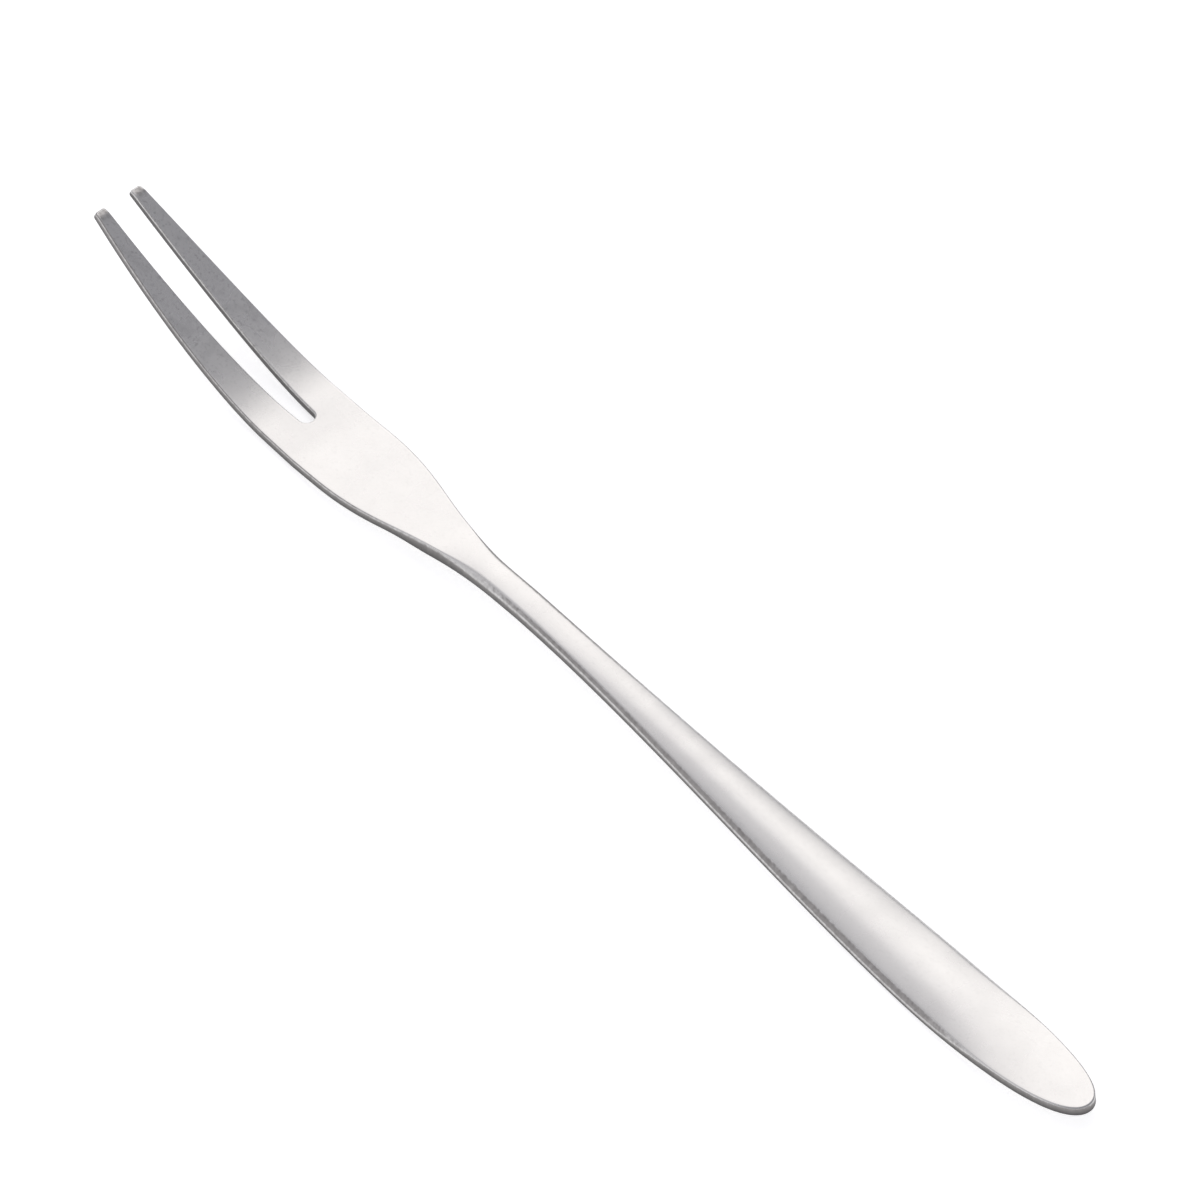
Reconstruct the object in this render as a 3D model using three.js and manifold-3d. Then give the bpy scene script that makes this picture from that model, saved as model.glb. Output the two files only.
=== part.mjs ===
// Two-tine serving fork, cut and pressed from one sheet of stainless steel.
// Millimetres, +Z up. The fork lies on its back: +X runs from the tine tips to the handle's tail.
import * as THREE from 'three';
import { LoftGeometry } from 'three/addons/geometries/LoftGeometry.js';
import { mergeVertices } from 'three/addons/utils/BufferGeometryUtils.js';
import Module from 'manifold-3d';

// Sheet
const SHEET = 1.0; // thickness of the steel
const EDGE_ROUND = 0.09; // polished corner along the head's and tail's top edge
const TINE_ROUND = 0.2; // the same along the tines

// Plan, measured along the fork
const TIP_TO_HEAD = 34.7; // tine tips to the head's widest place
const HEAD_TO_NECK = 22; // head's widest place to the start of the slim neck
const NECK = 4; // slim neck
const NECK_TO_HANDLE = 61; // end of the neck to the handle's widest place
const TAIL = 18.65; // handle's widest place to the tail's end

// Plan, measured across the fork
const TIP_WIDTH = 1.2; // each tine at its tip
const TIP_GAP = 3.15; // between the tines at their tips
const HEAD_WIDTH = 9.2;
const NECK_WIDTH = 3.2;
const HANDLE_WIDTH = 8.0;
const TAIL_FLAT = 1.0; // blunt stretch at the tail's very end
const TIP_ROUND = 0.25; // corners of the tine tips

// Slot between the tines
const SLOT_LENGTH = 28.7;
const SLOT_END = 1.75; // width of the slot at its round end

// Side view, heights of the sheet's underside above the table
const TINE_RISE = 7.3;
const TIP_BEVEL = 0.26; // tips are worn this much thinner
const TIP_BEVEL_RUN = 0.9;
const TINE_BEND = 26.8; // tine tips to where the head lies flat
const BELLY = 4.0; // stretch of the head that lies on the table
const ARCH_RISE = 2.0; // under the neck
const HANDLE_REST = 57; // end of the neck to where the handle meets the table
const TAIL_RISE = 1.45;

// Pressed handle
const DROP_NECK = 0.5; // the turned-down edges reach this far below the underside at the neck
const EDGE_DROP = 0.12; // and this far along the handle
const DROP_RUN = 45; // length over which the one becomes the other
const EDGE_LEAD = 5.5; // the edges start to turn down this far before the crown
const RIM = 0.55; // radius of the steep rounded side
const RIM_ANGLE = 60; // degrees from level, where the rim meets the shoulder
const RIM_RAMP = 6;
const RIM_STOP = 10; // rim ends this far before the tail's end
const RIM_FADE = 9;
const SHOULDER = 0.8; // radius of the turn from the crown to the rim
const SHOULDER_LEAD = 4; // shoulder starts this far behind the crown's start
const SHOULDER_RAMP = 9;
const SHOULDER_STOP = 12; // shoulder ends this far before the tail's end
const SHOULDER_FADE = 15;
const CROWN_NECK = 0.07; // height of the crown above its shoulders at the neck
const CROWN_HANDLE = 0.64; // the same along the wide handle
const CROWN_RISE = 46; // length over which the one becomes the other
const CROWN_LEAD = 8; // crown starts this far before the neck
const CROWN_RAMP = 5;
const CROWN_FADE = 22; // crown runs out over this length of the tail

// Curves, as shares of the stretch that each one crosses
const TINE_SWELL = 0.77; // of a tine's growth in width, at the first third of its length
const HEAD_LEAVE = 0.41;
const HEAD_ARRIVE = 0.49;
const HANDLE_LEAVE = 0.33;
const HANDLE_ARRIVE = 0.23;
const TAIL_FULL = 0.66;
const SLOT_WAIST = 0.15; // of the slot's narrowing, at its middle
const TINE_LEAVE = 0.335;
const TINE_STEEP = 0.49;
const TINE_ARRIVE = 0.25;
const ARCH_LEAVE = 0.08;
const ARCH_ARRIVE = 0.18;
const REST_LEAVE = 0.3;
const REST_ARRIVE = 0.45;

// Facets
const CROWN_STEPS = 8;
const HOLLOW_STEPS = 6;
const SLOT_STEPS = 8;
const SLOPE_PASSES = 4;
const NEAREST = 0.05; // places along the fork closer than this count as one

// Places along the fork
const headX = TIP_TO_HEAD;
const neckX = headX + HEAD_TO_NECK;
const gripX = neckX + NECK;
const wideX = gripX + NECK_TO_HANDLE;
const endX = wideX + TAIL;
const bellyX = TINE_BEND + BELLY;
const restX = gripX + HANDLE_REST;
const crownX = neckX - CROWN_LEAD;
const shoulderX = crownX + SHOULDER_LEAD;
const sharpX = endX - SHOULDER_STOP;
const plainX = endX - RIM_STOP;

// A smooth curve from one point to the next, level at both ends
function sCurve([x0, y0], [x1, y1], leave, arrive) {
  return new THREE.CubicBezierCurve(
    new THREE.Vector2(x0, y0),
    new THREE.Vector2(x0 + leave * (x1 - x0), y0),
    new THREE.Vector2(x1 - arrive * (x1 - x0), y1),
    new THREE.Vector2(x1, y1),
  );
}

// Point on a chain of curves at a place along the fork; no curve doubles back
function curveAt(curves, x) {
  const curve = curves.find((c) => x <= c.getPoint(1).x) ?? curves.at(-1);
  let low = 0;
  let high = 1;
  while (high - low > 1e-9) {
    const middle = (low + high) / 2;
    if (curve.getPoint(middle).x < x) low = middle;
    else high = middle;
  }
  return { value: curve.getPoint(low).y, slope: slopeOf(curve, low) };
}

function slopeOf(curve, t) {
  const tangent = curve.getTangent(t);
  return tangent.y / tangent.x;
}

// Half of the outline, from the tips to the tail
const tipHalf = TIP_GAP / 2 + TIP_WIDTH;
const tine = new THREE.CubicBezierCurve(
  new THREE.Vector2(0, tipHalf),
  new THREE.Vector2(headX / 3, tipHalf + TINE_SWELL * (HEAD_WIDTH / 2 - tipHalf)),
  new THREE.Vector2((2 * headX) / 3, HEAD_WIDTH / 2),
  new THREE.Vector2(headX, HEAD_WIDTH / 2),
);
const tail = new THREE.CubicBezierCurve(
  new THREE.Vector2(wideX, HANDLE_WIDTH / 2),
  new THREE.Vector2(wideX + TAIL_FULL * TAIL, HANDLE_WIDTH / 2),
  new THREE.Vector2(endX, TAIL_FULL * (HANDLE_WIDTH / 2)),
  new THREE.Vector2(endX, TAIL_FLAT / 2),
);
const outline = [
  tine,
  sCurve([headX, HEAD_WIDTH / 2], [neckX, NECK_WIDTH / 2], HEAD_LEAVE, HEAD_ARRIVE),
  new THREE.LineCurve(
    new THREE.Vector2(neckX, NECK_WIDTH / 2),
    new THREE.Vector2(gripX, NECK_WIDTH / 2),
  ),
  sCurve([gripX, NECK_WIDTH / 2], [wideX, HANDLE_WIDTH / 2], HANDLE_LEAVE, HANDLE_ARRIVE),
  tail,
];

// Side view of the underside
const tineSide = new THREE.CubicBezierCurve(
  new THREE.Vector2(0, TINE_RISE),
  new THREE.Vector2(TINE_LEAVE * TINE_BEND, TINE_STEEP * TINE_RISE),
  new THREE.Vector2((1 - TINE_ARRIVE) * TINE_BEND, 0),
  new THREE.Vector2(TINE_BEND, 0),
);
const side = [
  tineSide,
  new THREE.LineCurve(new THREE.Vector2(TINE_BEND, 0), new THREE.Vector2(bellyX, 0)),
  sCurve([bellyX, 0], [gripX, ARCH_RISE], ARCH_LEAVE, ARCH_ARRIVE),
  sCurve([gripX, ARCH_RISE], [restX, EDGE_DROP], REST_LEAVE, REST_ARRIVE),
  new THREE.QuadraticBezierCurve(
    new THREE.Vector2(restX, EDGE_DROP),
    new THREE.Vector2((restX + endX) / 2, EDGE_DROP),
    new THREE.Vector2(endX, TAIL_RISE),
  ),
];

const { smoothstep, lerp, clamp, degToRad } = THREE.MathUtils;
const rimAngle = degToRad(RIM_ANGLE);

// How far the edges reach below the sheet's underside
function edgeDrop(x) {
  const turned = smoothstep(x, crownX - EDGE_LEAD, crownX) * smoothstep(plainX - x, 0, RIM_FADE);
  return turned * lerp(DROP_NECK, EDGE_DROP, smoothstep(x, crownX, crownX + DROP_RUN));
}

// Height of the handle's crown above its shoulders
function crownHeight(x) {
  const start = Math.sin((clamp((x - crownX) / CROWN_RAMP, 0, 1) * Math.PI) / 2);
  const height = lerp(CROWN_NECK, CROWN_HANDLE, smoothstep(x, gripX, gripX + CROWN_RISE));
  return height * start * smoothstep(endX - x, 0, CROWN_FADE);
}

// Radii of the edge's round: the shoulder at the top and the rim at the side
function edgeRadii(x) {
  const plain = lerp(TINE_ROUND, EDGE_ROUND, smoothstep(x, TINE_BEND / 2, TINE_BEND));
  const rolled = smoothstep(x, crownX, crownX + RIM_RAMP) * smoothstep(plainX - x, 0, RIM_FADE);
  const begun = smoothstep(x, shoulderX, shoulderX + SHOULDER_RAMP);
  const shouldered = begun * smoothstep(sharpX - x, 0, SHOULDER_FADE);
  return { rim: lerp(plain, RIM, rolled), shoulder: lerp(plain, SHOULDER, shouldered) };
}

// Place on the edge's round with a given slope: how far inside the edge, and above the side wall
function edgePoint({ rim, shoulder }, angle) {
  const steep = Math.max(angle, rimAngle);
  const mild = Math.min(angle, rimAngle);
  return {
    inward: rim * (1 - Math.sin(steep)) + shoulder * (Math.sin(rimAngle) - Math.sin(mild)),
    above: rim * Math.cos(steep) + shoulder * (Math.cos(mild) - Math.cos(rimAngle)),
  };
}

// Slope of the crown where the edge's round takes over from it
function browSlope(radii, crown, half) {
  let slope = 0;
  for (let i = 0; i < SLOPE_PASSES; i++) {
    const reach = Math.max(half - edgePoint(radii, slope).inward, EDGE_ROUND);
    slope = Math.atan((2 * crown) / reach);
  }
  return slope;
}

// Ring of points round the straight blank at one place; heights are from the sheet's underside
function section(x) {
  const corner = Math.max(0, 1 - x / TIP_ROUND);
  const half = curveAt(outline, x).value - TIP_ROUND * (1 - Math.sqrt(1 - corner ** 2));
  const top = SHEET - TIP_BEVEL * Math.max(0, 1 - x / TIP_BEVEL_RUN) ** 2;
  const drop = edgeDrop(x);
  const crown = crownHeight(x);
  const radii = edgeRadii(x);
  const slope = browSlope(radii, crown, half);
  const brow = edgePoint(radii, slope);
  const wall = top - brow.above;
  const inner = Math.max(half - SHEET, half / 3);
  const turns = [Math.PI / 2, (Math.PI / 2 + rimAngle) / 2, rimAngle, (rimAngle + slope) / 2];
  const rounds = turns.map((angle) => edgePoint(radii, angle));
  const ring = [];
  const add = (y, height) => ring.push(new THREE.Vector3(x, y, height));
  add(half, -drop);
  rounds.forEach(({ inward, above }) => add(half - inward, wall + above));
  for (let i = 0; i <= CROWN_STEPS; i++) {
    const across = 1 - (2 * i) / CROWN_STEPS;
    add(across * (half - brow.inward), top + crown * (1 - across ** 2));
  }
  rounds.reverse().forEach(({ inward, above }) => add(inward - half, wall + above));
  add(-half, -drop);
  for (let i = 0; i <= HOLLOW_STEPS; i++) {
    const across = -1 + (2 * i) / HOLLOW_STEPS;
    add(across * inner, (drop + crown) * (1 - across ** 2) - drop);
  }
  return ring;
}

// Evenly spaced places from a up to, but without, b
function span(a, b, steps) {
  return Array.from({ length: steps }, (_, i) => a + ((b - a) * i) / steps);
}

const places = [
  ...span(0, TIP_ROUND, 2),
  ...span(TIP_ROUND, TIP_BEVEL_RUN, 5),
  ...span(TIP_BEVEL_RUN, TINE_BEND, 12),
  ...span(TINE_BEND, bellyX, 2),
  ...span(bellyX, crownX - EDGE_LEAD, 6),
  headX,
  ...span(crownX - EDGE_LEAD, crownX, 4),
  ...span(crownX, crownX + CROWN_RAMP, 4),
  ...span(crownX + CROWN_RAMP, gripX, 4),
  ...span(gripX, wideX, 20),
  ...span(0, Math.PI / 2, 12).map((angle) => wideX + TAIL * Math.sin(angle)),
  endX,
].sort((a, b) => a - b);
const stations = places.filter((x, i) => i === 0 || x - places[i - 1] > NEAREST);

// Slot outline: flared over the rounded tips, drawn in to a round end
function slotShape() {
  const gap = TIP_GAP / 2;
  const end = SLOT_END / 2;
  const throat = SLOT_LENGTH - end;
  const mouth = gap + TIP_ROUND;
  const waist = lerp(gap, end, SLOT_WAIST);
  const shape = new THREE.Shape();
  shape.moveTo(-SHEET, -mouth);
  shape.lineTo(0, -mouth);
  shape.quadraticCurveTo(0, -gap, TIP_ROUND, -gap);
  shape.quadraticCurveTo(throat / 2, -waist, throat, -end);
  shape.absarc(throat, 0, end, -Math.PI / 2, Math.PI / 2, false);
  shape.quadraticCurveTo(throat / 2, waist, TIP_ROUND, gap);
  shape.quadraticCurveTo(0, gap, 0, mouth);
  shape.lineTo(-SHEET, mouth);
  shape.closePath();
  return shape;
}

// Cutting one closed geometry out of another
const wasm = await Module();
wasm.setup();

function solidOf(geometry) {
  const bare = new THREE.BufferGeometry();
  bare.setAttribute('position', geometry.getAttribute('position'));
  bare.setIndex(geometry.index);
  const merged = mergeVertices(bare);
  return new wasm.Manifold(
    new wasm.Mesh({
      numProp: 3,
      vertProperties: merged.getAttribute('position').array,
      triVerts: new Uint32Array(merged.index.array),
    }),
  );
}

function geometryOf(solid) {
  const mesh = solid.getMesh();
  const geometry = new THREE.BufferGeometry();
  geometry.setAttribute('position', new THREE.BufferAttribute(mesh.vertProperties, 3));
  geometry.setIndex(new THREE.BufferAttribute(mesh.triVerts, 1));
  return geometry;
}

// Bends the straight blank to the side view, square to the sheet
function bend(geometry) {
  const position = geometry.getAttribute('position');
  for (let i = 0; i < position.count; i++) {
    const x = position.getX(i);
    const height = position.getZ(i);
    const { value, slope } = curveAt(side, x);
    const angle = Math.atan(slope);
    position.setX(i, x - height * Math.sin(angle));
    position.setZ(i, value + height * Math.cos(angle));
  }
  return geometry;
}

function forkGeometry() {
  const blank = new LoftGeometry(stations.map(section), { capStart: true, capEnd: true });
  const slot = new THREE.ExtrudeGeometry(slotShape(), {
    depth: 3 * SHEET,
    bevelEnabled: false,
    curveSegments: SLOT_STEPS,
  });
  slot.translate(0, 0, -SHEET);
  const formed = bend(geometryOf(solidOf(blank).subtract(solidOf(slot))));
  formed.computeVertexNormals();
  return formed;
}

const steel = new THREE.MeshStandardMaterial({
  color: 0xd8d5d0,
  metalness: 1.0,
  roughness: 0.35,
});
const fork = new THREE.Mesh(forkGeometry(), steel);
fork.name = 'fork';

// The origin is under the middle of the fork, on the table
fork.geometry.computeBoundingBox();
const middle = fork.geometry.boundingBox.getCenter(new THREE.Vector3());
fork.position.x = -middle.x;

const part = new THREE.Group();
part.add(fork);

export default part;
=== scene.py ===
import math

import bmesh
import bpy
import numpy as np
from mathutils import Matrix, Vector


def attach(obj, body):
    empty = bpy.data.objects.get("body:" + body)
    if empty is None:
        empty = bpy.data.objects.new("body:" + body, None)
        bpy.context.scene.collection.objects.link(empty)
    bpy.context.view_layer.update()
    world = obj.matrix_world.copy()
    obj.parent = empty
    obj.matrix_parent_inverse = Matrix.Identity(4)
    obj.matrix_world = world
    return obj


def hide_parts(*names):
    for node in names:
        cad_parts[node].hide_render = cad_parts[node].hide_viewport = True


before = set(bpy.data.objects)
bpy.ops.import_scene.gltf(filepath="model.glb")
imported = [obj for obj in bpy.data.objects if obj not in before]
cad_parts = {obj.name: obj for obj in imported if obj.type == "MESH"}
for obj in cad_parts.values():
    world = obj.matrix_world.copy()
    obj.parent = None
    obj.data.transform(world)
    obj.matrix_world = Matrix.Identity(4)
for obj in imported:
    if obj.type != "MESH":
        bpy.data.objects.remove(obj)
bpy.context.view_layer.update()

MM = 0.001  # the fork's sizes are in millimetres, Blender's in metres

# Sheet
SHEET = 1.0
EDGE_ROUND = 0.14  # polished corner along the head's top edge
TINE_ROUND = 0.2  # the same along the tines
TAIL_ROUND = 0.2  # and round the tail
BURR_ROUND = 0.07  # corner along the underside

# Plan
TIP_TO_HEAD = 34.7
HEAD_TO_NECK = 22.0
NECK = 4.0
NECK_TO_HANDLE = 61.0
TAIL = 18.65
TIP_WIDTH = 1.2
TIP_GAP = 3.15
HEAD_WIDTH = 9.2
NECK_WIDTH = 3.2
HANDLE_WIDTH = 8.0
TIP_ROUND = 0.25
TIP_BEVEL = 0.3
TIP_BEVEL_RUN = 0.9
SLOT_LENGTH = 28.7
SLOT_END = 1.75

# Plan curves, as shares of their length or width
TINE_SWELL = 0.77  # how soon the tines widen
HEAD_LEAVE = 0.41  # how long the edge keeps straight as it leaves the head
HEAD_ARRIVE = 0.49  # and before it arrives at the neck
HANDLE_LEAVE = 0.33  # the same from the neck
HANDLE_ARRIVE = 0.23  # to the wide handle
TAIL_FULL = 0.66  # how full the tail's round end is
SLOT_WAIST = 0.15  # how soon the slot narrows

# Side view, heights of the sheet's underside
TINE_RISE = 7.3
TINE_BEND = 26.8
BELLY = 4.0
ARCH_RISE = 2.0
HANDLE_REST = 57.0
TAIL_RISE = 1.45

# Side curves, as shares of their length or height
TINE_LEAVE = 0.335  # where the tips' slope would reach
TINE_STEEP = 0.49  # this height
TINE_ARRIVE = 0.25
ARCH_LEAVE = 0.08
ARCH_ARRIVE = 0.18
REST_LEAVE = 0.3
REST_ARRIVE = 0.45

# Pressed handle
DROP_NECK = 0.5  # how far the edges turn down at the neck
EDGE_DROP = 0.12  # and along the handle
DROP_RUN = 45.0  # the change between the two
EDGE_LEAD = 5.5  # the edges start to turn this far before the crown
RIM = 0.4  # the rounded side below the shoulder
RIM_RAMP = 6.0  # it grows over this length
RIM_STOP = 10.0  # is gone this far from the tail's end
RIM_FADE = 9.0  # and fades before that
SHOULDER_NECK = 0.66  # the corner between the crown and the rim, at the neck
SHOULDER = 1.05  # and along the wide handle
SHOULDER_RAMP = 6.0
SHOULDER_STOP = 9.0
SHOULDER_FADE = 12.0
RIM_ANGLE = math.radians(60)  # slope where corner meets rim
CROWN_NECK = 0.07  # height of the crown at the neck
CROWN_HANDLE = 0.64  # and along the wide handle
CROWN_RISE = 46.0  # the change between the two
CROWN_LEAD = 8.0  # the crown starts this far before the neck
CROWN_RAMP = 2.0
CROWN_FADE = 22.0
CROWN_LIMIT = 1.5  # it falls no further than this share of its height
HOLLOW_LEAST = 1 / 3  # the hollow takes at least this share of the width

# Wear and painted shade, from 0 for satin to 1 for the colour of a raw cut edge
RIM_CUT = 0.28
TINE_CUT = 0.45  # on the rim of the tines
SHOULDER_PAINTED_SHADE = 0.92  # painted shade of a dark reflection, where the shoulder is steep
SHOULDER_SHADED_SLOPES = (math.radians(25), math.radians(36))  # slopes where that painted shade starts and is full
SHOULDER_SHADE_RUN = (1.0, 16.0)  # where along the handle it starts and is full, after the crown
TAIL_WORN = (math.radians(62), math.radians(88))  # slopes for the wear round the tail's end
LEFT_SHADED_SLOPES = (math.radians(8), math.radians(34))  # slopes for painted shade of a dark reflection on the left edge of head, neck and tail
LEFT_FACING = (0.7, 0.97)  # how far that edge faces left where this painted shade starts and is full
LEFT_SHARE = 0.35  # of the other wear and painted shade, on the left
# strength of that painted shade at the neck and at the tail
LEFT_NECK_SHADE = 0.95
LEFT_TAIL_SHADE = 0.6
LEFT_RUN = 22.0  # from the neck's end to where the left painted shade has gone
SLOT_SHADE = 0.3  # painted shade: the slot's walls get only this share of the paler top of a cut edge
# painted shade over the tips' bevel, dimming its bright reflection
TIP_PAINTED_SHADE = 0.68
TIP_SHADE_RUN = (0.5, 1.3)  # where that painted shade on the tips starts to fade and is satin again
CHIPS = 3.0  # how patchy the half-worn and half painted-shaded edges are

# Mesh steps
CURVE_STEPS = 600
STEP = 0.5  # along the fork
TIP_STEPS = 8
SLOT_STEPS = 20
TAIL_STEPS = 60
TAIL_FAN = 2.0  # the midline's rows stop this far before the tail's end
ACROSS = 18  # from the midline or slot to the edge
HOLLOW_ACROSS = 12  # of those, under the hollow
ROW = ACROSS + 1  # points in a row
ROUND_STEPS = 6  # in the shoulder, and again in the rim
WALL_STEPS = 4
BURR_STEPS = 3
BROW_PASSES = 4  # to settle where the crown meets the shoulder
MERGE = 0.0005  # points of the two halves that are closer become one

# Satin steel: fine grain, faint smears and raw, darker cut edges; painted shade on edges and
# tips
SATIN_DULL = (0.58, 0.575, 0.565, 1)
SATIN_CLEAN = (0.62, 0.615, 0.605, 1)
# the cut edge: paler at its top, darker low down, partly its rough fracture zone, partly
# painted shade
CUT_TOP = (0.36, 0.345, 0.335, 1)
CUT_LOW_AND_SHADE = (0.09, 0.088, 0.087, 1)
SPECK = (0.42, 0.417, 0.412, 1)
SMEARS = {"scale": 220, "detail": 3}
GRAIN = {"scale": 4500, "detail": 2}
STROKES = {"scale": 2500, "detail": 2, "stretch": (0.06, 1, 1)}  # long along the fork
SHEAR = {"scale": 1800, "detail": 2, "stretch": (1, 1, 0.12)}  # long up the cut edge
CHIPPING = {"scale": 3000, "detail": 2}
BLOTCHES = {"scale": 500, "detail": 4}
SPECKS = {"scale": 3200, "detail": 3}
STREAKS = (0.4, 1.0)  # least and most of the cut edge's colour in the streaks
SPECK_LIMITS = (0.5, 0.78)  # noise levels where specks start and are full
SPECK_AMOUNT = (0.15, 0.8)  # how strong they are, on the handle and at the tips
STAIN_LIMITS = (0.5, 0.7)
STAIN_AMOUNT = (0.0, 0.4)
SHEEN = (0.22, 0.32)  # least and most roughness of the satin
CUT_ROUGHNESS = 0.45
BUMP_STRENGTH = 0.5
GRAIN_DEPTH = 0.001 * MM
STROKE_DEPTH = 0.001 * MM
SMEAR_DEPTH = 0.05 * MM

# Pale floor: its diffuse part keeps the shadow, its glow makes the open floor white
FLOOR_SIZE = 16.0
FLOOR_GAP = 0.02 * MM
FLOOR_COLOUR = (0.85, 0.85, 0.85, 1)
FLOOR_GLOW = 0.58

# Lights of the room: headings and heights in degrees, limits as cosines
ROOM = (0.439, 0.438, 0.47, 1)
SOFTBOX = (1.0, 0.966, 0.936, 1)
SOFTBOX_LEVEL = 1.3
SOFTBOX_MIDDLE = (114, 0)
SOFTBOX_SPREAD = (0.207, 0.662)
SOFTBOX_SIDE = (204, 0)  # it lies on this side only
SOFTBOX_END = (0.03, 0.1)
SOFTBOX_FOOT = (0.09, 0.28)
LAMP = (1.0, 0.965, 0.957, 1)
LAMP_LEVEL = 0.57
LAMP_MIDDLE = (174, 67)
LAMP_SPREAD = (math.cos(math.radians(22.7)), math.cos(math.radians(11)))
CARD = (1.0, 0.98, 0.98, 1)
CARD_LEVEL = 0.55
CARD_MIDDLE = (228, 20)
CARD_SPREAD = (0.68, 1.0)

# Camera: the photograph's direction, through a very long lens
VIEW_AZIMUTH = 49.5  # from -Y towards +X
VIEW_ELEVATION = 49.6
VIEW_WIDTH = 112.36 * MM
AIM_RIGHT = 0.15 * MM
AIM_UP = 7.8 * MM
SENSOR = 36.0
LENS = 1200.0
CLIP_END = 100.0

# Places along the fork
head_x = TIP_TO_HEAD
neck_x = head_x + HEAD_TO_NECK
grip_x = neck_x + NECK
wide_x = grip_x + NECK_TO_HANDLE
end_x = wide_x + TAIL
belly_x = TINE_BEND + BELLY
rest_x = grip_x + HANDLE_REST
crown_x = neck_x - CROWN_LEAD
plain_x = end_x - RIM_STOP
sharp_x = end_x - SHOULDER_STOP
throat_x = SLOT_LENGTH - SLOT_END / 2
mottled = ((TINE_BEND - end_x / 2) * MM, (TINE_BEND / 2 - end_x / 2) * MM)  # in the frame


def cubic(a, b, c, d):
    t = np.linspace(0, 1, CURVE_STEPS + 1)[:, None]
    s = 1 - t
    a, b, c, d = (np.array(p, float) for p in (a, b, c, d))
    return s**3 * a + 3 * s * s * t * b + 3 * s * t * t * c + t**3 * d


def quadratic(a, b, c):
    t = np.linspace(0, 1, CURVE_STEPS + 1)[:, None]
    a, b, c = (np.array(p, float) for p in (a, b, c))
    return (1 - t) ** 2 * a + 2 * (1 - t) * t * b + t * t * c


def line(a, b):
    t = np.linspace(0, 1, CURVE_STEPS + 1)[:, None]
    return (1 - t) * np.array(a, float) + t * np.array(b, float)


def s_curve(a, b, leave, arrive):
    run = b[0] - a[0]
    return cubic(a, (a[0] + leave * run, a[1]), (b[0] - arrive * run, b[1]), b)


def chain(*curves):
    return np.vstack([curves[0]] + [c[1:] for c in curves[1:]])


def smoothstep(x, low, high):
    t = np.clip((x - low) / (high - low), 0, 1)
    return t * t * (3 - 2 * t)


def lerp(a, b, t):
    return a + (b - a) * t


# Half of the outline, from the tips to the tail
tip_half = TIP_GAP / 2 + TIP_WIDTH
head_half = HEAD_WIDTH / 2
neck_half = NECK_WIDTH / 2
handle_half = HANDLE_WIDTH / 2
tail_curve = cubic(
    (wide_x, handle_half),
    (wide_x + TAIL_FULL * TAIL, handle_half),
    (end_x, TAIL_FULL * handle_half),
    (end_x, 0),
)
outline = chain(
    cubic(
        (0, tip_half),
        (head_x / 3, lerp(tip_half, head_half, TINE_SWELL)),
        (2 * head_x / 3, head_half),
        (head_x, head_half),
    ),
    s_curve((head_x, head_half), (neck_x, neck_half), HEAD_LEAVE, HEAD_ARRIVE),
    line((neck_x, neck_half), (grip_x, neck_half)),
    s_curve((grip_x, neck_half), (wide_x, handle_half), HANDLE_LEAVE, HANDLE_ARRIVE),
    tail_curve,
)

# Half of the slot, from the tips to its round end
slot_half = TIP_GAP / 2
slot_end = SLOT_END / 2
slot_curve = quadratic(
    (TIP_ROUND, slot_half),
    (throat_x / 2, lerp(slot_half, slot_end, SLOT_WAIST)),
    (throat_x, slot_end),
)

# Side view of the underside
side = chain(
    cubic(
        (0, TINE_RISE),
        (TINE_LEAVE * TINE_BEND, TINE_STEEP * TINE_RISE),
        ((1 - TINE_ARRIVE) * TINE_BEND, 0),
        (TINE_BEND, 0),
    ),
    line((TINE_BEND, 0), (belly_x, 0)),
    s_curve((belly_x, 0), (grip_x, ARCH_RISE), ARCH_LEAVE, ARCH_ARRIVE),
    s_curve((grip_x, ARCH_RISE), (rest_x, EDGE_DROP), REST_LEAVE, REST_ARRIVE),
    quadratic((rest_x, EDGE_DROP), ((rest_x + end_x) / 2, EDGE_DROP), (end_x, TAIL_RISE)),
)
side_slope = np.gradient(side[:, 1], side[:, 0])


def half_width(x):
    return np.interp(x, outline[:, 0], outline[:, 1])


def tip_corner(x):
    short = np.clip(1 - x / TIP_ROUND, 0, 1)
    return TIP_ROUND * (1 - np.sqrt(1 - short**2))


def slot_width(x):
    round_end = np.sqrt(np.clip(slot_end**2 - (x - throat_x) ** 2, 0, None))
    along = np.interp(x, slot_curve[:, 0], slot_curve[:, 1])
    return np.where(x > throat_x, round_end, along)


def pressed(x):
    return np.sin(np.clip((x - crown_x) / CROWN_RAMP, 0, 1) * math.pi / 2)


def rolled(x):
    return smoothstep(x, crown_x, crown_x + RIM_RAMP) * smoothstep(plain_x - x, 0, RIM_FADE)


def shouldered(x):
    start = smoothstep(x, crown_x, crown_x + SHOULDER_RAMP)
    return start * smoothstep(sharp_x - x, 0, SHOULDER_FADE)


# Share of the change from the neck to the wide handle
def grown(x):
    return smoothstep(x, grip_x, grip_x + CROWN_RISE)


def edge_drop(x):
    drop = lerp(DROP_NECK, EDGE_DROP, smoothstep(x, crown_x, crown_x + DROP_RUN))
    turned = smoothstep(x, crown_x - EDGE_LEAD, crown_x)
    return drop * turned * smoothstep(plain_x - x, 0, RIM_FADE)


def crown_height(x):
    height = lerp(CROWN_NECK, CROWN_HANDLE, grown(x))
    return height * pressed(x) * smoothstep(end_x - x, 0, CROWN_FADE)


def plain_round(x):
    head = lerp(TINE_ROUND, EDGE_ROUND, smoothstep(x, TINE_BEND / 2, TINE_BEND))
    return lerp(head, TAIL_ROUND, smoothstep(x, grip_x, wide_x))


def corner_round(x):
    return lerp(plain_round(x), lerp(SHOULDER_NECK, SHOULDER, grown(x)), shouldered(x))


def rim_round(x):
    return lerp(plain_round(x), RIM, rolled(x))


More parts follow.
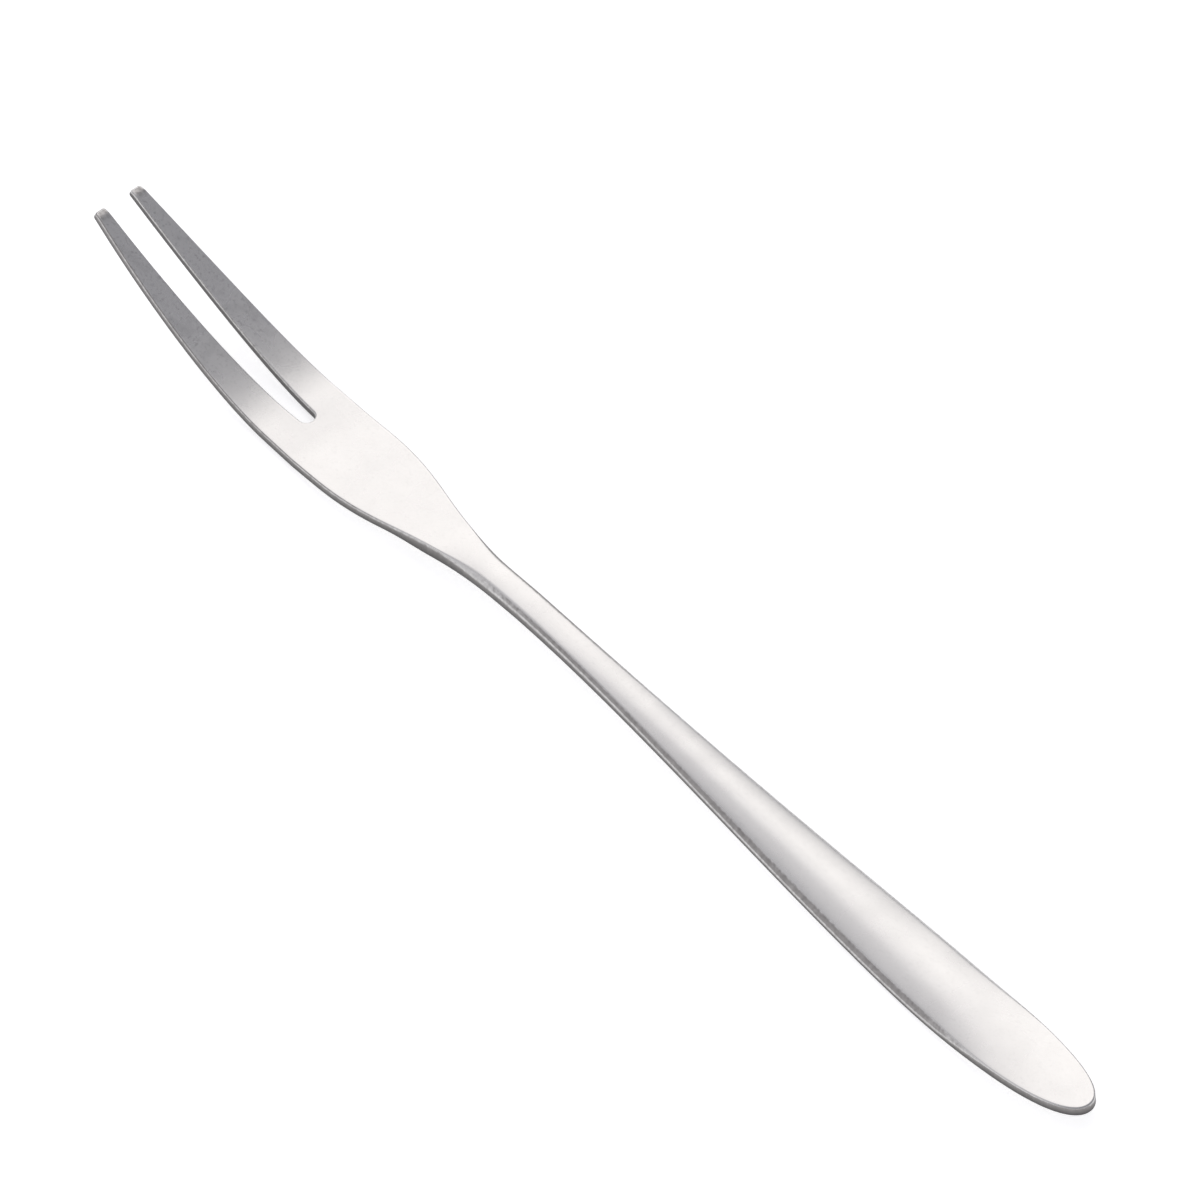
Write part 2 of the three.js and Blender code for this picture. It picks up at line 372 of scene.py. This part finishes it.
# Inward reach and height of the edge's round above the side wall, where it has a given slope
def edge_point(x, angle):
    steep = np.maximum(angle, RIM_ANGLE)
    mild = np.minimum(angle, RIM_ANGLE)
    rim, corner = rim_round(x), corner_round(x)
    inward = rim * (1 - np.sin(steep)) + corner * (math.sin(RIM_ANGLE) - np.sin(mild))
    height = rim * np.cos(steep) + corner * (np.cos(mild) - math.cos(RIM_ANGLE))
    return inward, height


# Slope of the crown where the edge's round takes over, and how far that is from the edge
def brow(x):
    inset = edge_point(x, 0.0)[0]
    for _ in range(BROW_PASSES):
        slope = np.arctan(2 * crown_height(x) / np.maximum(half_width(x) - inset, EDGE_ROUND))
        inset = edge_point(x, slope)[0]
    return slope, inset


def top_height(x, y):
    across = y / np.maximum(half_width(x) - brow(x)[1], EDGE_ROUND)
    bevel = TIP_BEVEL * np.clip(1 - x / TIP_BEVEL_RUN, 0, 1) ** 2
    return SHEET - bevel + crown_height(x) * (1 - np.minimum(across**2, CROWN_LIMIT))


def hollow_half(x):
    return np.maximum(half_width(x) - SHEET, half_width(x) * HOLLOW_LEAST)


def bottom_height(x, y):
    across = np.clip(np.abs(y) / hollow_half(x), 0, 1)
    drop = edge_drop(x)
    return (drop + crown_height(x)) * (1 - across**2) - drop


# Share of the change from the handle to the tail's plain cut edge
def tailed(x):
    return smoothstep(x, sharp_x - SHOULDER_FADE, sharp_x)


# Share of the change from the tines to the head
def headed(x):
    return smoothstep(x, TINE_BEND, head_x)


def rim_wear(x):
    return lerp(TINE_CUT, RIM_CUT, headed(x))


# Painted shade of a dark reflection on the shoulder, by its slope: it stops where the crown
# starts
def shoulder_painted_shade(x, angle):
    before = smoothstep(crown_x - x, 0, crown_x - head_x)
    after = smoothstep(x - crown_x, *SHOULDER_SHADE_RUN)
    return SHOULDER_PAINTED_SHADE * (before + after) * smoothstep(angle, *SHOULDER_SHADED_SLOPES)


# Painted shade of a dark reflection on the left edge, at +Y, by its slope and how far it faces
# left
def left_painted_shade(x, angle, leftward):
    neck = headed(x) * smoothstep(grip_x + LEFT_RUN - x, 0, LEFT_RUN)
    most = LEFT_NECK_SHADE * neck + LEFT_TAIL_SHADE * tailed(x)
    return most * smoothstep(leftward, *LEFT_FACING) * smoothstep(angle, *LEFT_SHADED_SLOPES)


# Unit normals of a line of points in plan, to its right
def right_normals(points):
    length = np.r_[0, np.cumsum(np.hypot(*np.diff(points, axis=0).T))]
    tangent = np.c_[np.gradient(points[:, 0], length), np.gradient(points[:, 1], length)]
    tangent /= np.linalg.norm(tangent, axis=1)[:, None]
    return np.c_[tangent[:, 1], -tangent[:, 0]]


# Matching points along the outer edge and along the slot and midline, from tips to tail
def plan_rows():
    tip = TIP_ROUND * (1 - np.cos(np.linspace(0, math.pi / 2, TIP_STEPS + 1)))
    bevel = np.linspace(TIP_ROUND, 2 * TIP_BEVEL_RUN, 2 * TIP_STEPS)
    tines = np.r_[bevel, np.linspace(bevel[-1], throat_x, round(throat_x / STEP))[1:]]
    turn = np.sin(np.linspace(0, math.pi / 2, SLOT_STEPS + 1))[1:]
    slotted = np.r_[tip, tines[1:], throat_x + slot_end * turn]
    beside = np.r_[tip, tines[1:], throat_x + (slot_end + TINE_ROUND) * turn]
    body = np.linspace(beside[-1], wide_x, round((wide_x - SLOT_LENGTH) / STEP))
    x = np.r_[beside, body[1:]]
    round_tail = tail_curve[:: CURVE_STEPS // TAIL_STEPS][1:]
    outer = np.vstack([np.c_[x, half_width(x) - tip_corner(x)], round_tail])
    fan = np.linspace(wide_x, end_x - TAIL_FAN, len(outer) - len(x) + 1)[1:]
    midline = np.r_[body[1:], fan]
    inner = np.vstack(
        [
            np.c_[slotted, slot_width(slotted) + tip_corner(slotted)],
            np.c_[midline, np.zeros(len(midline))],
        ]
    )
    return outer, inner, len(slotted) - 1


class HalfFork:
    """Points and faces of the left half, at y >= 0, in the straight blank's coordinates.

    Each point has its rise, from 0 low on the cut edge to 1 at its top, lower in the slot,
    which sets the painted shade low on the cut edge, and two values for its wear and painted
    shade: its own, and that of its mirror image on the right half.
    """

    def __init__(self):
        self.outer, self.inner, self.apex = plan_rows()
        self.rows = len(self.outer)
        self.outer_in = right_normals(self.outer)
        self.outer_in[0] = (1, 0)
        self.outer_in[-1] = (-1, 0)
        self.slot_in = -right_normals(self.inner[: self.apex + 1])
        self.slot_in[0] = (1, 0)
        self.slot_in[-1] = (1, 0)
        self.points = []
        self.left_cut_and_shade = []
        self.right_cut_and_shade = []
        self.rise = []
        self.faces = []
        self.build()

    def build(self):
        even = np.tile(np.linspace(0, 1, ROW), (self.rows, 1))
        top = self.add_sheet(lambda x: brow(x)[1], even, top_height)
        under = self.add_sheet(
            lambda x: np.full(len(x), BURR_ROUND), self.hollow_shares(), bottom_height
        )
        self.sheet_faces(top, False)
        self.sheet_faces(under, True)
        rings = [self.border(top)] + self.edge_rings() + [self.border(under)]
        for upper, lower in zip(rings, rings[1:]):
            for k in range(len(upper) - 1):
                self.faces.append((upper[k], upper[k + 1], lower[k + 1], lower[k]))

    def hollow_shares(self):
        share = hollow_half(self.inner[:, 0]) / half_width(self.inner[:, 0])
        near = np.linspace(0, 1, HOLLOW_ACROSS + 1)
        far = np.linspace(0, 1, ACROSS - HOLLOW_ACROSS + 1)[1:]
        return [np.r_[s * near, s + (1 - s) * far] for s in share]

    def inset_rows(self, inset):
        outer = self.outer + self.outer_in * inset(self.outer[:, 0])[:, None]
        inner = self.inner.copy()
        slot = slice(0, self.apex + 1)
        inner[slot] += self.slot_in * inset(self.inner[slot, 0])[:, None]
        return outer, inner

    def add_sheet(self, inset, shares, height):
        outer, inner = self.inset_rows(inset)
        first = len(self.points)
        for i in range(self.rows):
            for share in shares[i]:
                x, y = lerp(inner[i], outer[i], share)
                # painted shade over the tips' bevel, dimming its bright reflection
                wear_and_shade = TIP_PAINTED_SHADE * (1 - smoothstep(x, *TIP_SHADE_RUN))
                self.points.append((x, y, height(x, y)))
                self.left_cut_and_shade.append(wear_and_shade)
                self.right_cut_and_shade.append(wear_and_shade)
                self.rise.append(1.0)
        return first

    def sheet_faces(self, first, flip):
        for i in range(self.rows - 1):
            for j in range(ACROSS):
                a = first + i * ROW + j
                quad = (a, a + ROW, a + ROW + 1, a + 1)
                self.faces.append(quad[::-1] if flip else quad)

    # Points of a sheet along its edge, from the tail past the tip to the slot's end
    def border(self, first):
        outer = [first + i * ROW + ACROSS for i in range(self.rows - 1, -1, -1)]
        tip = [first + j for j in range(ACROSS - 1, 0, -1)]
        slot = [first + i * ROW for i in range(self.apex + 1)]
        return outer + tip + slot

    # The plan's points and inward normals in the same order
    def edge_line(self):
        shares = np.linspace(1, 0, ROW)[1:-1]
        tip = np.array([lerp(self.inner[0], self.outer[0], s) for s in shares])
        at = np.vstack([self.outer[::-1], tip, self.inner[: self.apex + 1]])
        into = np.vstack([self.outer_in[::-1], [(1, 0)] * len(tip), self.slot_in])
        return at, into

    def edge_rings(self):
        at, into = self.edge_line()
        x = at[:, 0]
        slope, inset = brow(x)
        brow_at = at + into * inset[:, None]
        wall_top = top_height(brow_at[:, 0], brow_at[:, 1]) - edge_point(x, slope)[1]
        wall_low = BURR_ROUND - edge_drop(x)
        # painted shade in the slot: its walls get less of the cut edge's paler top
        painted_slot_light = np.ones(len(x))
        painted_slot_light[-len(self.slot_in):] = SLOT_SHADE
        rings = []
        for low, high, is_rim in ((slope, RIM_ANGLE, False), (RIM_ANGLE, math.pi / 2, True)):
            for k in range(1, ROUND_STEPS + 1):
                angle = lerp(low, high, k / ROUND_STEPS) * np.ones(len(x))
                inward, height = edge_point(x, angle)
                # on the shoulder this wear is painted shade of a dark reflection
                wear_and_shade = rim_wear(x) if is_rim else shoulder_painted_shade(x, angle)
                right = lerp(wear_and_shade, smoothstep(angle, *TAIL_WORN), tailed(x))
                # on the left: the greater of part of that, and the painted shade of the left
                # edge's dark reflection
                left = np.maximum(LEFT_SHARE * right, left_painted_shade(x, angle, -into[:, 1]))
                ring = at + into * inward[:, None]
                rings.append(self.add_ring(ring, wall_top + height, left, right, 1.0))
        # the wall's rise falls to 0 low down, for the painted shade low on the cut edge
        for k in range(1, WALL_STEPS + 1):
            share = k / WALL_STEPS
            height = lerp(wall_top, wall_low, share)
            rings.append(self.add_ring(at, height, 1.0, 1.0, painted_slot_light * (1 - share)))
        for k in range(1, BURR_STEPS):
            angle = k / BURR_STEPS * math.pi / 2
            inward = BURR_ROUND * (1 - math.cos(angle))
            height = wall_low - BURR_ROUND * math.sin(angle)
            rings.append(self.add_ring(at + into * inward, height, 1.0, 1.0, 0.0))
        return rings

    def add_ring(self, at, height, left, right, rise):
        first = len(self.points)
        self.points += [(x, y, h) for (x, y), h in zip(at, height)]
        for values, new in ((self.left_cut_and_shade, left), (self.right_cut_and_shade, right), (self.rise, rise)):
            values += np.broadcast_to(new, len(at)).tolist()
        return list(range(first, len(self.points)))


# Bends the straight blank to the side view and moves it to the frame's origin
def bent(points):
    x, y, h = points.T
    angle = np.arctan(np.interp(x, side[:, 0], side_slope))
    z = np.interp(x, side[:, 0], side[:, 1])
    return np.c_[x - h * np.sin(angle) - end_x / 2, y, z + h * np.cos(angle)] * MM


def fork_mesh():
    half = HalfFork()
    left = bent(np.array(half.points))
    right = left * (1, -1, 1)
    count = len(left)
    faces = half.faces + [tuple(v + count for v in reversed(f)) for f in half.faces]
    mesh = bpy.data.meshes.new("fork_body")
    mesh.from_pydata(np.vstack([left, right]).tolist(), [], faces)
    # cut carries the wear and the painted shade; rise sets the painted shade low on the cut
    # edge
    for name, values in (("cut", half.left_cut_and_shade + half.right_cut_and_shade), ("rise", half.rise * 2)):
        mesh.attributes.new(name, "FLOAT", "POINT").data.foreach_set("value", values)
    work = bmesh.new()
    work.from_mesh(mesh)
    bmesh.ops.remove_doubles(work, verts=work.verts, dist=MERGE * MM)
    bmesh.ops.recalc_face_normals(work, faces=work.faces)
    work.to_mesh(mesh)
    work.free()
    mesh.shade_smooth()
    return mesh


def add_object(name, data):
    made = bpy.data.objects.new(name, data)
    bpy.context.collection.objects.link(made)
    return made


# Links a node's socket to another's output, or gives it a plain value
def feed(tree, socket, value):
    if isinstance(value, bpy.types.NodeSocket):
        tree.links.new(value, socket)
    else:
        socket.default_value = value


def add_node(tree, kind, **inputs):
    node = tree.nodes.new(kind)
    for name, value in inputs.items():
        feed(tree, node.inputs[name.replace("_", " ")], value)
    return node


def math_node(tree, operation, a, b):
    node = tree.nodes.new("ShaderNodeMath")
    node.operation = operation
    feed(tree, node.inputs[0], a)
    feed(tree, node.inputs[1], b)
    return node


def product(tree, a, b):
    return math_node(tree, "MULTIPLY", a, b).outputs["Value"]


def map_range(tree, value, low, high):
    node = add_node(tree, "ShaderNodeMapRange", Value=value, To_Min=low, To_Max=high)
    return node.outputs["Result"]


# Smooth step of a value from 0 at one limit to 1 at the other
def fade(tree, value, gone, full):
    node = add_node(tree, "ShaderNodeMapRange", Value=value, From_Min=gone, From_Max=full)
    node.interpolation_type = "SMOOTHSTEP"
    return node.outputs["Result"]


def component(tree, vector, axis):
    return add_node(tree, "ShaderNodeSeparateXYZ", Vector=vector).outputs[axis]


def attribute(tree, name):
    node = tree.nodes.new("ShaderNodeAttribute")
    node.attribute_name = name
    return node.outputs["Fac"]


def noise(tree, position, scale, detail, stretch=(1, 1, 1)):
    mapping = add_node(tree, "ShaderNodeMapping", Vector=position, Scale=stretch)
    place = mapping.outputs["Vector"]
    node = add_node(tree, "ShaderNodeTexNoise", Vector=place, Scale=scale, Detail=detail)
    return node.outputs["Fac"]


# Mix of two values of one kind; the node has sockets for every kind, told apart by identifier
def blend(tree, factor, a, b, kind="FLOAT"):
    node = add_node(tree, "ShaderNodeMix", Factor=factor)
    node.data_type = kind
    ending = {"FLOAT": "Float", "RGBA": "Color"}[kind]
    sockets = {socket.identifier: socket for socket in node.inputs}
    feed(tree, sockets[f"A_{ending}"], a)
    feed(tree, sockets[f"B_{ending}"], b)
    return next(socket for socket in node.outputs if socket.enabled)


def bump(tree, height, depth):
    return add_node(
        tree, "ShaderNodeBump", Height=height, Strength=BUMP_STRENGTH, Distance=depth
    )


def add_shaders(tree, a, b):
    node = tree.nodes.new("ShaderNodeAddShader")
    feed(tree, node.inputs[0], a)
    feed(tree, node.inputs[1], b)
    return node.outputs["Shader"]


# Makes half-worn and half painted-shaded edges patchy, leaving satin and raw steel as they are
def chipped(tree, cut, patches):
    satin = math_node(tree, "SUBTRACT", 1.0, cut).outputs["Value"]
    half_worn = product(tree, cut, satin)
    change = product(tree, half_worn, map_range(tree, patches, -CHIPS, CHIPS))
    total = math_node(tree, "ADD", cut, change)
    total.use_clamp = True
    return total.outputs["Value"]


# Blotches all over, with specks and stains that grow towards the tips
def satin_colour(tree, position):
    blotches = noise(tree, position, **BLOTCHES)
    specks = fade(tree, noise(tree, position, **SPECKS), *SPECK_LIMITS)
    stains = fade(tree, blotches, *STAIN_LIMITS)
    tines = fade(tree, component(tree, position, "X"), *mottled)
    colour = blend(tree, blotches, SATIN_DULL, SATIN_CLEAN, "RGBA")
    for marks, amount in ((specks, SPECK_AMOUNT), (stains, STAIN_AMOUNT)):
        share = product(tree, marks, map_range(tree, tines, *amount))
        colour = blend(tree, share, colour, SPECK, "RGBA")
    return colour


# Dark low on the cut edge, partly its rough fracture zone and partly painted shade, and paler
# at its top, with streaks up and down
def cut_and_shade_colour(tree, position):
    colour = blend(tree, attribute(tree, "rise"), CUT_LOW_AND_SHADE, CUT_TOP, "RGBA")
    streaks = map_range(tree, noise(tree, position, **SHEAR), *STREAKS)
    return blend(tree, streaks, CUT_LOW_AND_SHADE, colour, "RGBA")


def steel_material():
    material = bpy.data.materials.new("satin_steel")
    material.use_nodes = True
    tree = material.node_tree
    shader = tree.nodes["Principled BSDF"]
    position = tree.nodes.new("ShaderNodeTexCoord").outputs["Object"]
    # cut: raw cut edges, and painted shade on the shoulders, left edges, tips and low walls
    cut = chipped(tree, attribute(tree, "cut"), noise(tree, position, **CHIPPING))
    satin, raw_and_shade = satin_colour(tree, position), cut_and_shade_colour(tree, position)
    smears = noise(tree, position, **SMEARS)
    sheen = map_range(tree, smears, *SHEEN)

    fine = bump(tree, noise(tree, position, **GRAIN), GRAIN_DEPTH)
    brushed = bump(tree, noise(tree, position, **STROKES), STROKE_DEPTH)
    uneven = bump(tree, smears, SMEAR_DEPTH)
    feed(tree, brushed.inputs["Normal"], fine.outputs["Normal"])
    feed(tree, uneven.inputs["Normal"], brushed.outputs["Normal"])

    shader.inputs["Metallic"].default_value = 1.0
    feed(tree, shader.inputs["Base Color"], blend(tree, cut, satin, raw_and_shade, "RGBA"))
    feed(tree, shader.inputs["Roughness"], blend(tree, cut, sheen, CUT_ROUGHNESS))
    feed(tree, shader.inputs["Normal"], uneven.outputs["Normal"])
    return material


def floor_material():
    material = bpy.data.materials.new("pale_floor")
    material.use_nodes = True
    tree = material.node_tree
    tree.nodes.clear()
    paint = add_node(tree, "ShaderNodeBsdfDiffuse", Color=FLOOR_COLOUR)
    path = tree.nodes.new("ShaderNodeLightPath")
    seen = path.outputs["Is Camera Ray"]
    for ray in ("Is Glossy Ray", "Is Transmission Ray"):
        seen = math_node(tree, "MAXIMUM", seen, path.outputs[ray]).outputs["Value"]
    glow = add_node(tree, "ShaderNodeEmission", Strength=product(tree, seen, FLOOR_GLOW))
    both = add_shaders(tree, paint.outputs["BSDF"], glow.outputs["Emission"])
    add_node(tree, "ShaderNodeOutputMaterial", Surface=both)
    return material


def make_fork():
    fork = add_object("fork_body", fork_mesh())
    fork.data.materials.append(steel_material())
    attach(fork, "root")
    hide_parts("fork")


def make_floor():
    mesh = bpy.data.meshes.new("floor")
    r = FLOOR_SIZE / 2
    z = -FLOOR_GAP
    mesh.from_pydata([(-r, -r, z), (r, -r, z), (r, r, z), (-r, r, z)], [], [(0, 1, 2, 3)])
    floor = add_object("floor", mesh)
    floor.data.materials.append(floor_material())


# Direction from the fork, by its heading from +X towards +Y and its height, in degrees
def direction(heading, height):
    a, e = math.radians(heading), math.radians(height)
    return Vector((math.cos(a) * math.cos(e), math.sin(a) * math.cos(e), math.sin(e)))


# Light that fades with the angle between its middle and where a ray goes
def spread(tree, aim, middle, limits):
    dot = tree.nodes.new("ShaderNodeVectorMath")
    dot.operation = "DOT_PRODUCT"
    feed(tree, dot.inputs[0], aim)
    feed(tree, dot.inputs[1], direction(*middle))
    return fade(tree, dot.outputs["Value"], *limits)


# Grey room with a large softbox behind the fork, a lamp above it and a white card before it
def make_world():
    world = bpy.data.worlds.new("studio")
    bpy.context.scene.world = world
    world.use_nodes = True
    tree = world.node_tree
    aim = tree.nodes.new("ShaderNodeTexCoord").outputs["Generated"]
    room = tree.nodes["Background"]
    room.inputs["Color"].default_value = ROOM

    wide = spread(tree, aim, SOFTBOX_MIDDLE, SOFTBOX_SPREAD)
    ended = spread(tree, aim, SOFTBOX_SIDE, SOFTBOX_END)
    foot = fade(tree, component(tree, aim, "Z"), *SOFTBOX_FOOT)
    softbox = product(tree, product(tree, wide, ended), foot)
    lamp = spread(tree, aim, LAMP_MIDDLE, LAMP_SPREAD)
    card = spread(tree, aim, CARD_MIDDLE, CARD_SPREAD)
    total = room.outputs["Background"]
    for colour, shape, level in (
        (SOFTBOX, softbox, SOFTBOX_LEVEL),
        (LAMP, lamp, LAMP_LEVEL),
        (CARD, card, CARD_LEVEL),
    ):
        strength = product(tree, shape, level)
        light = add_node(tree, "ShaderNodeBackground", Color=colour, Strength=strength)
        total = add_shaders(tree, total, light.outputs["Background"])
    feed(tree, tree.nodes["World Output"].inputs["Surface"], total)


def make_camera():
    back = direction(VIEW_AZIMUTH - 90, VIEW_ELEVATION)
    right = direction(VIEW_AZIMUTH, 0)
    up = back.cross(right)
    data = bpy.data.cameras.new("camera")
    data.sensor_width = SENSOR
    data.lens = LENS
    data.clip_end = CLIP_END
    camera = add_object("camera", data)
    distance = VIEW_WIDTH * LENS / SENSOR
    camera.location = right * AIM_RIGHT + up * AIM_UP + back * distance
    camera.rotation_euler = back.to_track_quat("Z", "Y").to_euler()
    bpy.context.scene.camera = camera


make_fork()
make_floor()
make_world()
make_camera()
bpy.context.scene.view_settings.view_transform = "Standard"
